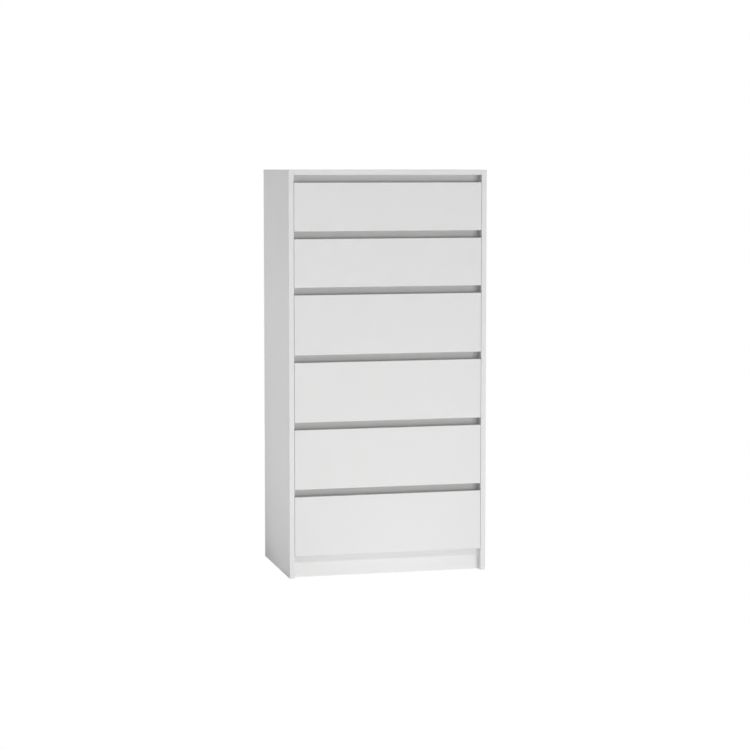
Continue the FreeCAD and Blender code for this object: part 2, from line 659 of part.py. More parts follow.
def save_drawer(number):
    """Every node of one drawer."""
    name = "drawer_%d_" % (number + 1)
    right = drawer_side(number)
    save(name + "front", [drawer_front(number)])
    save(name + "side_right", [right])
    save(name + "side_left", [mirrored(right)])
    save(name + "back", [drawer_back(number)])
    save(name + "bottom", [drawer_bottom(number)])
    save(name + "runners", both_sides(drawer_runner(number)))
    save(name + "fittings", drawer_fittings(number))


os.makedirs("parts", exist_ok=True)
save_carcass()
for drawer in range(len(FRONT_HEIGHTS)):
    save_drawer(drawer)
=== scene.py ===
import json
import math

import bmesh
import bpy
from mathutils import Matrix, Vector


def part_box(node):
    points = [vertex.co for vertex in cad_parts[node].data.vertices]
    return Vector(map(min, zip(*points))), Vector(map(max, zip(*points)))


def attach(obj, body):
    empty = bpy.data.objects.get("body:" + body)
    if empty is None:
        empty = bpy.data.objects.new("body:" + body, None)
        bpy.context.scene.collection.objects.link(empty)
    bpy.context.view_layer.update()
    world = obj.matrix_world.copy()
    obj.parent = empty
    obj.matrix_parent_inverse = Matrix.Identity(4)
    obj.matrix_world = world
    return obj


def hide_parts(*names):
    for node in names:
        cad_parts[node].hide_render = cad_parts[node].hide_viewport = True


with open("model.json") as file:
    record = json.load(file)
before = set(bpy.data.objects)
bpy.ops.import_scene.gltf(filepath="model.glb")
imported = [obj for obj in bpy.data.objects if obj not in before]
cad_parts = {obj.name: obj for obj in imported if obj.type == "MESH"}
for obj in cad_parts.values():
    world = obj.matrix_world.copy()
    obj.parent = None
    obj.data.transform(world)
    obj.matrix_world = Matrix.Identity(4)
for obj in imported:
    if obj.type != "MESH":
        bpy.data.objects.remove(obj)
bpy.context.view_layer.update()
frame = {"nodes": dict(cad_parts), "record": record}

# ---------------------------------------------------------------- what the frame says
NODES = frame["nodes"]
BODIES = frame["record"]["behaviour"]["bodies"]
DRAWERS = sorted(name for name in BODIES if name.startswith("drawer_"))
TRAVEL = frame["record"]["behaviour"]["joints"][0]["range_m"][1]


# ---------------------------------------------------------------- shader building
FACING = 0.7                              # how far a face that looks along an axis leans that way


class Tree:
    """Short ways to add nodes to a node tree."""

    def __init__(self, tree):
        self.tree = tree

    def set(self, socket, value):
        """Give a socket a number, a colour or another node's output."""
        if isinstance(value, bpy.types.NodeSocket):
            self.tree.links.new(value, socket)
        else:
            socket.default_value = value

    def node(self, kind, inputs, **settings):
        made = self.tree.nodes.new(kind)
        for key, value in settings.items():
            setattr(made, key, value)
        for key, value in inputs.items():
            self.set(made.inputs[key], value)
        return made

    def math(self, operation, first, second=0.0):
        return self.node("ShaderNodeMath", {0: first, 1: second}, operation=operation).outputs[0]

    def span(self, value, low, high, to_low=0.0, to_high=1.0):
        """The value's share of the way from low to high, clamped, as to_low to to_high."""
        inputs = {"Value": value, "From Min": low, "From Max": high}
        inputs.update({"To Min": to_low, "To Max": to_high})
        return self.node("ShaderNodeMapRange", inputs).outputs[0]

    def parts(self, vector):
        return self.node("ShaderNodeSeparateXYZ", {0: vector}).outputs


class Painter(Tree):
    """One material's node tree, in metres of the piece's own space."""

    def __init__(self, name, roughness, metallic=0.0):
        self.material = bpy.data.materials.new(name)
        self.material.use_nodes = True
        super().__init__(self.material.node_tree)
        self.shader = self.tree.nodes["Principled BSDF"]
        self.shader.inputs["Roughness"].default_value = roughness
        self.shader.inputs["Metallic"].default_value = metallic
        space = self.tree.nodes.new("ShaderNodeTexCoord")
        self.place = space.outputs["Object"]
        self.facing = space.outputs["Normal"]

    def noise(self, scale, detail=2.0, stretch=(1.0, 1.0, 1.0)):
        place = self.node("ShaderNodeVectorMath", {0: self.place, 1: stretch}, operation="MULTIPLY")
        inputs = {"Vector": place.outputs[0], "Scale": scale, "Detail": detail}
        return self.node("ShaderNodeTexNoise", inputs).outputs["Fac"]

    def blend(self, share, first, second):
        mixer = self.node("ShaderNodeMix", {}, data_type="RGBA")
        self.set(mixer.inputs[0], share)
        self.set(mixer.inputs[6], first)
        self.set(mixer.inputs[7], second)
        return mixer.outputs[2]

    def colour(self, value):
        self.set(self.shader.inputs["Base Color"], value)

    def roughness(self, value):
        self.set(self.shader.inputs["Roughness"], value)

    def bumps(self, *layers):
        """Layers of (height, distance in metres), one on top of another."""
        normal = None
        for height, distance in layers:
            inputs = {"Height": height, "Distance": distance, "Strength": 1.0}
            if normal is not None:
                inputs["Normal"] = normal
            normal = self.node("ShaderNodeBump", inputs).outputs["Normal"]
        self.set(self.shader.inputs["Normal"], normal)

    def faces_towards(self, axis, sign):
        """1 on the faces that look along the axis, and 0 on the rest."""
        along = self.math("MULTIPLY", self.parts(self.facing)[axis], sign)
        return self.math("GREATER_THAN", along, FACING)


def grey(value, warmth=0.0):
    return (value * (1 + warmth), value, value * (1 - warmth), 1.0)


# ---------------------------------------------------------------- materials
FOIL = 0.80                               # reflectance of the white foil
BAND = 0.001                              # thickness of the edge band
SEAM = 0.00012                            # half width of the glue line beside it
SEAM_SHADE = 0.22                         # how far the glue line darkens the foil
BAND_SHADE = 0.5                          # how far the edge band whitens it
DRAWER_TONE = 0.97                        # of the foil inside the drawers, to that outside


def raw_board(painter):
    """Colour of a cut edge of particle board: pressed chips, pale and dark."""
    cells = painter.node("ShaderNodeTexVoronoi", {"Vector": painter.place, "Scale": 420.0})
    tone = painter.parts(cells.outputs["Color"])[0]
    chips = painter.blend(tone, (0.30, 0.19, 0.10, 1.0), (0.62, 0.46, 0.29, 1.0))
    fibres = painter.span(painter.noise(900.0, 4.0), 0.3, 0.7, 0.0, 0.45)
    return painter.blend(fibres, chips, (0.44, 0.31, 0.18, 1.0))


def foil_board(name, node, thin_axis, raw_ways=(), tone=FOIL):
    """White melamine foil, its banded edges, and raw board where an edge has no band."""
    painter = Painter(name, 0.42)
    clouds = painter.span(painter.noise(2.3, 3.0), 0.3, 0.7)
    foil = painter.blend(clouds, grey(tone * 0.985, 0.004), grey(tone, 0.001))
    pearl = painter.noise(1500.0, 1.0)
    low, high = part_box(node)
    middle, half = (low + high) / 2, (high - low) / 2
    place = painter.parts(painter.place)
    edges = []
    for axis in range(3):
        if axis != thin_axis:
            offset = painter.math("ABSOLUTE", painter.math("SUBTRACT", place[axis], middle[axis]))
            edges.append(painter.math("SUBTRACT", half[axis], offset))
    inset = painter.math("MINIMUM", edges[0], edges[1])
    off_line = painter.math("ABSOLUTE", painter.math("SUBTRACT", inset, BAND))
    line = painter.span(off_line, 0.0, SEAM * 2, 1.0, 0.0)
    foil = painter.blend(painter.math("MULTIPLY", line, SEAM_SHADE), foil, grey(0.42, 0.03))
    band = painter.span(inset, 0.0, BAND, 1.0, 0.0)
    foil = painter.blend(painter.math("MULTIPLY", band, BAND_SHADE), foil, grey(tone * 1.015))
    gloss = painter.span(painter.noise(38.0, 3.0), 0.3, 0.7, 0.36, 0.46)
    for axis, sign in raw_ways:
        mask = painter.faces_towards(axis, sign)
        foil = painter.blend(mask, foil, raw_board(painter))
        gloss = painter.span(mask, 0.0, 1.0, gloss, 0.9)
    painter.colour(foil)
    painter.roughness(gloss)
    painter.bumps((pearl, 0.000012), (painter.math("MULTIPLY", line, -1.0), 0.00006))
    return painter.material


def hardboard(name, axis, brown_sign):
    """Hardboard, painted white on one face and bare brown fibre on the other."""
    painter = Painter(name, 0.55)
    bare = painter.faces_towards(axis, brown_sign)
    fibres = painter.noise(420.0, 6.0, (1.0, 1.0, 0.35))
    tangle = painter.span(fibres, 0.3, 0.7)
    specks = painter.span(painter.noise(60.0, 4.0), 0.45, 0.75, 0.0, 0.35)
    brown = painter.blend(tangle, (0.28, 0.17, 0.095, 1.0), (0.43, 0.285, 0.17, 1.0))
    brown = painter.blend(specks, brown, (0.50, 0.35, 0.22, 1.0))
    clouds = painter.span(painter.noise(5.0, 3.0), 0.3, 0.7)
    white = painter.blend(clouds, grey(0.74, 0.006), grey(0.77, 0.003))
    painter.colour(painter.blend(bare, white, brown))
    painter.roughness(painter.span(bare, 0.0, 1.0, 0.5, 0.82))
    painter.bumps((fibres, 0.00005))
    return painter.material


def coated_steel():
    painter = Painter("white_coated_steel", 0.33)
    peel = painter.noise(620.0, 2.0)
    painter.colour(painter.blend(painter.noise(14.0, 3.0), grey(0.74, 0.004), grey(0.79, 0.002)))
    painter.roughness(painter.span(painter.noise(90.0, 3.0), 0.3, 0.7, 0.27, 0.38))
    painter.bumps((peel, 0.00002))
    painter.shader.inputs["Coat Weight"].default_value = 0.25
    return painter.material


def nylon():
    painter = Painter("white_nylon", 0.45)
    painter.colour(painter.blend(painter.noise(60.0, 2.0), grey(0.70, 0.02), grey(0.75, 0.015)))
    painter.roughness(painter.span(painter.noise(300.0, 3.0), 0.3, 0.7, 0.38, 0.52))
    painter.bumps((painter.noise(2500.0, 1.0), 0.00001))
    painter.shader.inputs["Subsurface Weight"].default_value = 0.15
    painter.shader.inputs["Subsurface Scale"].default_value = 0.002
    return painter.material


def zinc():
    painter = Painter("zinc_plate", 0.34, 1.0)
    cast = painter.noise(1400.0, 4.0)
    painter.colour(painter.blend(painter.noise(240.0, 4.0), grey(0.50, -0.02), grey(0.66, -0.005)))
    painter.roughness(painter.span(cast, 0.3, 0.7, 0.26, 0.46))
    painter.bumps((cast, 0.00002))
    return painter.material


def beech():
    painter = Painter("beech", 0.6)
    grain = painter.noise(900.0, 4.0, (0.06, 1.0, 1.0))
    streaks = painter.span(grain, 0.3, 0.7)
    painter.colour(painter.blend(streaks, (0.50, 0.33, 0.19, 1.0), (0.66, 0.48, 0.31, 1.0)))
    painter.bumps((grain, 0.00006))
    return painter.material


def paint(node, material):
    """Give a CAD node its material in place of the plain one that it came with."""
    mesh = NODES[node].data
    mesh.materials.clear()
    mesh.materials.append(material)


RAW_REAR, RAW_UNDER, RAW_FRONT = (1, 1), (2, -1), (1, -1)      # axis and sign of a raw edge


def paint_carcass():
    for side in ("left", "right"):
        node = "side_panel_" + side
        paint(node, foil_board("foil_" + node, node, 0, (RAW_REAR, RAW_UNDER)))
    paint("top_panel", foil_board("foil_top", "top_panel", 2, (RAW_REAR,)))
    paint("bottom_panel", foil_board("foil_bottom", "bottom_panel", 2, (RAW_REAR, RAW_FRONT)))
    paint("plinth", foil_board("foil_plinth", "plinth", 1, (RAW_UNDER,)))
    for node in sorted(NODES):
        if node.startswith("cross_rail_"):
            paint(node, foil_board("foil_" + node, node, 1))
    paint("back_panel", hardboard("hardboard_back", 1, 1))
    paint("dowels", beech())


def paint_drawers():
    for drawer in DRAWERS:
        paint(drawer + "_front", foil_board("foil_" + drawer, drawer + "_front", 1))
        for part in ("side_left", "side_right", "back"):
            node = drawer + "_" + part
            thin_axis = 1 if part == "back" else 0
            foil = foil_board("foil_" + node, node, thin_axis, (RAW_REAR,), FOIL * DRAWER_TONE)
            paint(node, foil)
        paint(drawer + "_bottom", hardboard("hardboard_" + drawer, 2, -1))


# ---------------------------------------------------------------- mesh building
MM = 0.001
WELD = 1e-6                               # corners closer than this are one
LEVEL = 1e-4                              # how far a straight side of an outline may stray
ROUND_STEPS = 4
HOLE_STEPS = 24
SCREW_STEPS = 24
CAM_STEPS = 32
SHARP = math.radians(32.0)                # edges sharper than this are not shaded smooth
CROSS_TAPER = ((1.0, 0.0), (0.9, 0.12), (0.45, 1.0))           # size and depth of a sunk cross


def solids(node):
    """The corner points of each separate solid of a CAD node, in a fixed order."""
    mesh = bmesh.new()
    mesh.from_mesh(NODES[node].data)
    bmesh.ops.remove_doubles(mesh, verts=mesh.verts, dist=WELD)
    seen = set()
    found = []
    for start in mesh.verts:
        if start in seen:
            continue
        seen.add(start)
        group = [start]
        for vert in group:
            for edge in vert.link_edges:
                other = edge.other_vert(vert)
                if other not in seen:
                    seen.add(other)
                    group.append(other)
        found.append([vert.co.copy() for vert in group])
    mesh.free()
    return sorted(found, key=lambda points: [round(value, 5) for value in span_of(points)[0]])


def span_of(points):
    """Lowest and highest corner of some points."""
    low = Vector([min(point[axis] for point in points) for axis in range(3)])
    high = Vector([max(point[axis] for point in points) for axis in range(3)])
    return low, high


def edge_of(mesh, first, second):
    return mesh.edges.get((first, second)) or mesh.edges.new((first, second))


def ring_edges(mesh, ring):
    return [edge_of(mesh, vert, ring[index - 1]) for index, vert in enumerate(ring)]


def join_rings(mesh, first, second):
    """Quads between two rings with the same number of vertices."""
    for index in range(len(first)):
        mesh.faces.new((first[index - 1], first[index], second[index], second[index - 1]))


def rounded(corners):
    """An outline (a, b) whose corners (a, b, radius) are rounded off."""
    outline = []
    for index, (a, b, radius) in enumerate(corners):
        here = Vector((a, b))
        if not radius:
            outline.append(here)
            continue
        before = (Vector(corners[index - 1][:2]) - here).normalized()
        after = (Vector(corners[(index + 1) % len(corners)][:2]) - here).normalized()
        half = before.angle(after) / 2
        middle = here + (before + after).normalized() * (radius / math.sin(half))
        first = here + before * (radius / math.tan(half)) - middle
        last = here + after * (radius / math.tan(half)) - middle
        for step in range(ROUND_STEPS + 1):
            share = step / ROUND_STEPS
            outline.append(middle + first.lerp(last, share).normalized() * radius)
    return outline


def prism(mesh, outline, start, end, place, holes=()):
    """Push an outline (a, b) from start to end, with holes in its long sides of equal a.

    place turns (a, b, t) into a point, and a hole is (t, b, half length along t, half height)."""
    near, far = [[mesh.verts.new(place(a, b, t)) for a, b in outline] for t in (start, end)]
    punched = []
    for index in range(len(outline)):
        side = (near[index - 1], near[index], far[index], far[index - 1])
        (a, b), (next_a, next_b) = outline[index - 1], outline[index]
        reach = max([0.0] + [abs(hole[1] - (b + next_b) / 2) + hole[3] for hole in holes])
        if holes and abs(a - next_a) < LEVEL and abs(b - next_b) / 2 > reach:
            loops = [punch_ring(mesh, a, hole, place) for hole in holes]
            edges = ring_edges(mesh, side)
            for loop in loops:
                edges += ring_edges(mesh, loop)
            bmesh.ops.triangle_fill(mesh, use_beauty=True, use_dissolve=False, edges=edges)
            punched.append(loops)
        else:
            mesh.faces.new(side)
    for loops in zip(*punched):
        join_rings(mesh, *loops)
    mesh.faces.new(near)
    mesh.faces.new(far)


def turns(steps):
    """Angles of the corners of a circle, none of them on an axis."""
    return [2 * math.pi * (step + 0.5) / steps for step in range(steps)]


def punch_ring(mesh, a, hole, place):
    """The rim of a hole, which is round or a slot with round ends."""
    t, b, half_length, half_height = hole
    ring = []
    for turn in turns(HOLE_STEPS):
        shift = math.copysign(half_length - half_height, math.cos(turn))
        point = place(a, b + math.sin(turn) * half_height, t + shift + math.cos(turn) * half_height)
        ring.append(mesh.verts.new(point))
    return ring


def lathe(mesh, rings, place, steps):
    """Turn (radius, height) pairs, in millimetres, about z; returns the rings of vertices."""
    loops = []
    for radius, height in rings:
        loop = []
        for turn in turns(steps):
            point = Vector((math.cos(turn) * radius, math.sin(turn) * radius, height))
            loop.append(mesh.verts.new(place @ point))
        loops.append(loop)
    for lower, upper in zip(loops, loops[1:]):
        join_rings(mesh, lower, upper)
    return loops


def crossed_cap(mesh, rim, height, arm, half_width, depth, place):
    """Close a ring with a flat face that has a tapered cross sunk in it.

    The cross reaches arm from the middle, and its bars are twice half_width wide."""
    shape = [(arm, half_width), (half_width, half_width), (half_width, arm)]
    corners = []
    for quarter in range(4):
        turn = Matrix.Rotation(quarter * math.pi / 2, 2)
        corners += [turn @ Vector(corner) for corner in shape]
    levels = []
    for scale, share in CROSS_TAPER:
        level = height - share * depth
        points = [place @ Vector((x * scale, y * scale, level)) for x, y in corners]
        levels.append([mesh.verts.new(point) for point in points])
    edges = ring_edges(mesh, rim) + ring_edges(mesh, levels[0])
    bmesh.ops.triangle_fill(mesh, use_beauty=True, use_dissolve=False, edges=edges)
    join_rings(mesh, levels[0], levels[1])
    join_rings(mesh, levels[1], levels[2])
    mesh.faces.new(levels[2])


def thread(start, end, root, crest, pitch):
    """Rings of a thread, from one height up to another."""
    rings = []
    for turn in range(int((end - start) / pitch)):
        base = start + turn * pitch
        rings += [(root, base), (root, base + pitch * 0.35)]
        rings += [(crest, base + pitch * 0.62), (crest, base + pitch * 0.78)]
    return rings + [(root, end)]


def standing(origin, up, towards):
    """Millimetres with z along up and x along towards, as metres of the frame."""
    up, towards = Vector(up).normalized(), Vector(towards).normalized()
    turn = Matrix((towards, up.cross(towards), up)).transposed().to_4x4()
    return Matrix.Translation(origin) @ turn @ Matrix.Scale(MM, 4)


def piece(name, body, finish, mesh, material, *replaced):
    """Make a finished mesh into a piece that rides on a body and stands for CAD nodes."""
    bmesh.ops.recalc_face_normals(mesh, faces=mesh.faces)
    data = bpy.data.meshes.new(name)
    mesh.to_mesh(data)
    mesh.free()
    data.materials.append(material)
    data.polygons.foreach_set("use_smooth", [True] * len(data.polygons))
    data.set_sharp_from_angle(angle=SHARP)
    made = bpy.data.objects.new(name, data)
    bpy.context.scene.collection.objects.link(made)
    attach(made, body)
    if replaced:
        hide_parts(*replaced)


# ---------------------------------------------------------------- screws, cams and bolts
# These are in millimetres. Pairs are (radius, height) unless it says otherwise.
CAM_WIDTH = 14.8                          # across a cam
CAM_BOLT_DEPTH = {"drawer": 6.0, "board": 7.5}                 # half of the board that it is in
MOUTH = 3.3                               # half height of the hole that a bolt comes in by
MOUTH_BACK = 3.2                          # from a cam's axis to the back of that hole
MOUTH_ARC = (-3, -2, -1, 0, 1, 2)         # corners of a cam that span the hole
CAM_UNDER_EDGE = (0.5, 0.4)               # how far its lower edge is eased, in and up
CAM_RIM_EDGE = 0.3
CAM_FACE = ((6.3, 0.0), (6.0, -0.6), (3.9, -0.6), (3.5, -0.1))
CAM_CROSS = (3.0, 0.75, 2.6)              # arm, half width, depth
CAM_ARROW = ((4.3, -1.2), (5.8, 0.0), (4.3, 1.2))              # (x, y)
CAM_ARROW_LEVELS = (-0.65, -0.15)
BOLT_FOOT = ((0.9, 0.0), (1.7, 0.7))
BOLT_THREAD = (0.9, 10.6, 1.8, 2.45, 1.6)                      # start, end, root, crest, pitch
BOLT_COLLAR = ((2.3, 11.0), (3.1, 11.0), (3.3, 11.2), (3.3, 12.6), (3.0, 13.0))
BOLT_NECK = ((3.0, -8.3), (2.0, -7.6), (2.0, -3.7), (2.4, -3.4))       # heights below its end
BOLT_HEAD = (1.0, 2.3, 1.75)              # flat end, round part, half height
BOLT_LENGTH = 34.5                        # a bolt is longer than this
BOLT_WIDTH = 6.9                          # and narrower than this
SMALL_HEAD = 3.5                          # a head with a smaller radius is a small screw's
SMALL_SCREW, LARGE_SCREW = (1.7, 1.4), (2.0, 2.4)              # shank radius, head thickness
SCREW_PITCH = 1.1
SCREW_CROSS_WIDTH = 0.42                  # half of it
END_SHARE = 0.12                          # of a screw's length, which counts as its end
SLACK = 0.3                               # how far a measured width may be off
AXES = (Vector((1, 0, 0)), Vector((0, 1, 0)), Vector((0, 0, 1)))


def long_axis(points):
    """The axis that a screw or bolt lies along, its two ends (head last) and its widest radius."""
    low, high = span_of(points)
    size = high - low
    axis = max(range(3), key=lambda index: size[index])
    middle = (low + high) / 2
    ends = []
    for level in (low[axis], high[axis]):
        near = [point for point in points if abs(point[axis] - level) < size[axis] * END_SHARE]
        offsets = [point - middle for point in near]
        across = [offset - AXES[axis] * offset[axis] for offset in offsets]
        centre = middle.copy()
        centre[axis] = level
        ends.append((max(offset.length for offset in across), centre))
    ends.sort(key=lambda end: end[0])
    return ends[0][1], ends[1][1], ends[1][0] / MM


def screw(mesh, tip, head, head_radius):
    """A pan-head screw with a cross recess, a ribbed shank and a point."""
    up = (head - tip).normalized()
    length = (head - tip).length / MM
    place = standing(head, up, up.orthogonal())
    shank, thickness = SMALL_SCREW if head_radius < SMALL_HEAD else LARGE_SCREW
    rings = [(shank * 0.2, -length), (shank * 0.35, -length + 0.3), (shank * 0.8, -length + shank)]
    rings += thread(-length + shank + 0.2, -thickness - 0.8, shank * 0.78, shank, SCREW_PITCH)
    rings += [(shank * 0.85, -thickness - 0.1), (shank * 0.95, -thickness)]
    rings += [(head_radius * 0.94, -thickness), (head_radius, -thickness + 0.12)]
    flat, dome = head_radius * 0.55, thickness * 0.78
    for step in range(5):
        turn = step / 4 * math.pi / 2
        radius = flat + (head_radius - flat) * math.cos(turn)
        rings.append((radius, -dome * (1 - math.sin(turn))))
    loops = lathe(mesh, rings, place, SCREW_STEPS)
    mesh.faces.new(loops[0])
    arm, depth = head_radius * 0.5, thickness * 0.75
    crossed_cap(mesh, loops[-1], 0.0, arm, SCREW_CROSS_WIDTH, depth, place)


def bolt(mesh, root_end, head_end):
    """A cam bolt: thread, collar, shaft, neck and a rounded head."""
    up = (head_end - root_end).normalized()
    length = (head_end - root_end).length / MM
    place = standing(root_end, up, up.orthogonal())
    rings = list(BOLT_FOOT) + thread(*BOLT_THREAD) + list(BOLT_COLLAR)
    rings += [(radius, length + height) for radius, height in BOLT_NECK]
    flat, bulge, half = BOLT_HEAD
    for step in range(7):
        turn = (step / 6 - 0.5) * math.pi * 0.94
        rings.append((flat + bulge * math.cos(turn), length - half + half * math.sin(turn)))
    loops = lathe(mesh, rings, place, SCREW_STEPS)
    mesh.faces.new(loops[0])
    mesh.faces.new(loops[-1])


def cam(mesh, points):
    """A die-cast cam: rim, sunk face, boss with a cross, an arrow, and a mouth for the bolt."""
    low, high = span_of(points)
    size = [round(value / MM, 1) for value in high - low]
    axis = min(range(3), key=lambda index: size[index])
    middle = (low + high) / 2
    outward = math.copysign(1.0, middle.x)
    up = (AXES[0] * outward, AXES[1], -AXES[2])[axis]
    towards = -AXES[1] if axis == 0 else AXES[0] * outward
    height = size[axis]
    place = standing(middle + up * (height / 2 * MM), up, towards)
    bolt_level = -CAM_BOLT_DEPTH["drawer" if axis == 0 else "board"]
    radius = CAM_WIDTH / 2
    ease, rise = CAM_UNDER_EDGE
    wall = [(radius - ease, -height), (radius, -height + rise)]
    if bolt_level - MOUTH > wall[-1][1]:
        wall.append((radius, bolt_level - MOUTH))
    mouth_row = len(wall) - 1
    wall += [(radius, bolt_level + MOUTH), (radius, -CAM_RIM_EDGE), (radius - CAM_RIM_EDGE, 0.0)]
    loops = lathe(mesh, wall + list(CAM_FACE), place, CAM_STEPS)
    mesh.faces.new(loops[0])
    crossed_cap(mesh, loops[-1], CAM_FACE[-1][1], *CAM_CROSS, place)
    open_mouth(mesh, loops[mouth_row], loops[mouth_row + 1], place)
    rings = []
    for level in CAM_ARROW_LEVELS:
        rings.append([mesh.verts.new(place @ Vector((x, y, level))) for x, y in CAM_ARROW])
    join_rings(mesh, *rings)
    for ring in rings:
        mesh.faces.new(ring)


def open_mouth(mesh, lower, upper, place):
    """Take the wall away where the bolt comes in, and line the hole behind it."""
    bottom, top = [lower[index] for index in MOUTH_ARC], [upper[index] for index in MOUTH_ARC]
    for index in range(len(MOUTH_ARC) - 1):
        window = {bottom[index], bottom[index + 1], top[index], top[index + 1]}
        for face in list(bottom[index].link_faces):
            if set(face.verts) == window:
                mesh.faces.remove(face)
    back = place.inverted()
    inner = []
    for verts in (bottom, top):
        spots = [back @ vert.co for vert in verts]
        points = [place @ Vector((-MOUTH_BACK, spot.y, spot.z)) for spot in spots]
        inner.append([mesh.verts.new(point) for point in points])
    deep, shallow = inner
    for index in range(len(MOUTH_ARC) - 1):
        after = index + 1
        mesh.faces.new((bottom[index], bottom[after], deep[after], deep[index]))
        mesh.faces.new((top[index], top[after], shallow[after], shallow[index]))
        mesh.faces.new((deep[index], deep[after], shallow[after], shallow[index]))
    for end in (0, -1):
        mesh.faces.new((bottom[end], deep[end], shallow[end], top[end]))


def fittings(node, body):
    """Detailed cams, bolts and screws where a CAD node has its plain ones."""
    mesh = bmesh.new()
    for points in solids(node):
        low, high = span_of(points)
        sizes = sorted(round(value / MM, 1) for value in high - low)
        if max(abs(size - CAM_WIDTH) for size in sizes[1:]) < SLACK:
            cam(mesh, points)
            continue
        tip, head, radius = long_axis(points)
        if sizes[2] > BOLT_LENGTH and sizes[0] < BOLT_WIDTH:
            bolt(mesh, tip, head)
        else:
            screw(mesh, tip, head, radius)
    piece(node + "_detailed", body, "zinc", mesh, ZINC, node)


# ---------------------------------------------------------------- runners and brackets
STEEL = 1.2 * MM
RIB = 0.4 * MM                            # height of the ribs pressed into a channel
BEND = 1.7 * MM                           # outer radius of a bend
TIP = 0.35 * MM                           # rounding of a sheet's cut edges
SIDE_BOARD = 12.0 * MM                    # a drawer side, which stands on its profile's foot
WEB_HEIGHT = 18.0 * MM                    # of a drawer profile, above its foot
REAR_GLIDE = 28.0 * MM                    # length of the glide on a drawer
STOP_PLAY = 0.5 * MM                      # beyond the drawer's travel
GLIDE_PLAY = 0.3 * MM
GLIDE_WALL = 1.2 * MM
GLIDE_DEPTH = 5.2 * MM
GLIDE_EDGE = 0.3 * MM
GLIDE_SHARP = 0.5                         # edges sharper than this are eased, in radians
ANGLE_STEEL = 2.0 * MM
ANGLE_HOLE = 2.75 * MM
ANGLE_HOLE_DROP = 26.0 * MM
ANGLE_WIDTH = 10.0 * MM                   # an angle is wider than this, and its screws are not
# Millimetres from a channel's middle, and share of a rib's height.
RIB_OUTLINE = ((8.2, 0.0), (7.6, 1.0), (6.4, 1.0), (5.8, 0.0))
SCREW_HOLE = 2.0 * MM                     # radius
SHORT_SCREW = 13.0 * MM                   # a runner screw is shorter than this
# Holes beside each screw: how far behind it (negative is in front), half length, half height.
CHANNEL_SLOT = (-40.0 * MM, 4.6 * MM, 2.3 * MM)
CHANNEL_HOLE = (-24.0 * MM, 2.3 * MM, 2.3 * MM)
PROFILE_SLOT = (22.0 * MM, 3.6 * MM, 1.9 * MM)


def screw_places(node):
    """(y, z) of each short screw that lies across the chest on its right side."""
    places = []
    for points in solids(node):
        low, high = span_of(points)
        size = high - low
        if low.x > 0 and size.y < size.x < SHORT_SCREW:
            places.append(((low.y + high.y) / 2, (low.z + high.z) / 2))
    return sorted(places)


def channel(mesh, low, high, place, screws):
    """A rolled steel channel, open towards the middle, with ribs, slots and screw holes."""
    open_x, wall_x, web_x = low.x, high.x, high.x - STEEL
    middle = (low.z + high.z) / 2
    outline = [(wall_x, low.z, BEND), (wall_x, high.z, BEND), (open_x, high.z, TIP)]
    outline += [(open_x, high.z - STEEL, TIP), (web_x, high.z - STEEL, BEND - STEEL)]
    for side in (1, -1):
        for offset, rise in RIB_OUTLINE[::side]:
            outline.append((web_x - rise * RIB, middle + side * offset * MM, 0))
    outline += [(web_x, low.z + STEEL, BEND - STEEL), (open_x, low.z + STEEL, TIP)]
    outline.append((open_x, low.z, TIP))
    holes = []
    for y, z in screws:
        if low.z < z < high.z:
            holes.append((y, middle, SCREW_HOLE, SCREW_HOLE))
            for shift, *half_sizes in (CHANNEL_SLOT, CHANNEL_HOLE):
                holes.append((y + shift, middle, *half_sizes))
    prism(mesh, rounded(outline), low.y, high.y, place, holes)


def drawer_profile(mesh, foot, low, high, place, screws):
    """A drawer's own angle: a foot under its side, a web beside it and a flange for the glide."""
    side_x = low.x + SIDE_BOARD
    web_x, tip_x = side_x + STEEL, high.x - GLIDE_WALL
    flange = (low.z + high.z - STEEL) / 2
    top = foot + WEB_HEIGHT
    outline = [(low.x, foot - STEEL, TIP), (web_x, foot - STEEL, BEND), (web_x, flange, TIP)]
    outline += [(tip_x, flange, TIP), (tip_x, flange + STEEL, TIP), (web_x, flange + STEEL, TIP)]
    outline += [(web_x, top, TIP), (side_x, top, TIP), (side_x, foot, 0), (low.x, foot, TIP)]
    holes = []
    for y, z in screws:
        holes.append((y, z, SCREW_HOLE, SCREW_HOLE))
        shift, *half_sizes = PROFILE_SLOT
        holes.append((y + shift, z, *half_sizes))
    prism(mesh, rounded(outline), low.y, high.y, place, holes)


def glide(mesh, outline, start, end, place):
    """A moulded block with all its edges eased."""
    part = bmesh.new()
    prism(part, [Vector(corner) for corner in outline], start, end, place)
    bmesh.ops.recalc_face_normals(part, faces=part.faces)
    sharp = [edge for edge in part.edges if edge.calc_face_angle(0.0) > GLIDE_SHARP]
    bmesh.ops.bevel(part, geom=sharp, offset=GLIDE_EDGE, segments=3, profile=0.6, affect="EDGES")
    data = bpy.data.meshes.new("glide")
    part.to_mesh(data)
    part.free()
    mesh.from_mesh(data)
    bpy.data.meshes.remove(data)


def forked(open_x, closed_x, low, high, slot_x, slot_low, slot_high):
    """A block's outline with a slot that opens towards the middle of the chest."""
    upper = [(open_x, high), (open_x, slot_high), (slot_x, slot_high)]
    lower = [(slot_x, slot_low), (open_x, slot_low), (open_x, low)]
    return [(closed_x, low), (closed_x, high)] + upper + lower


def mirror_place(sign):
    """Turns (x, z, y) on the right of the chest into a point there, or mirrored on its left."""
    return lambda a, b, t: Vector((sign * a, t, b))


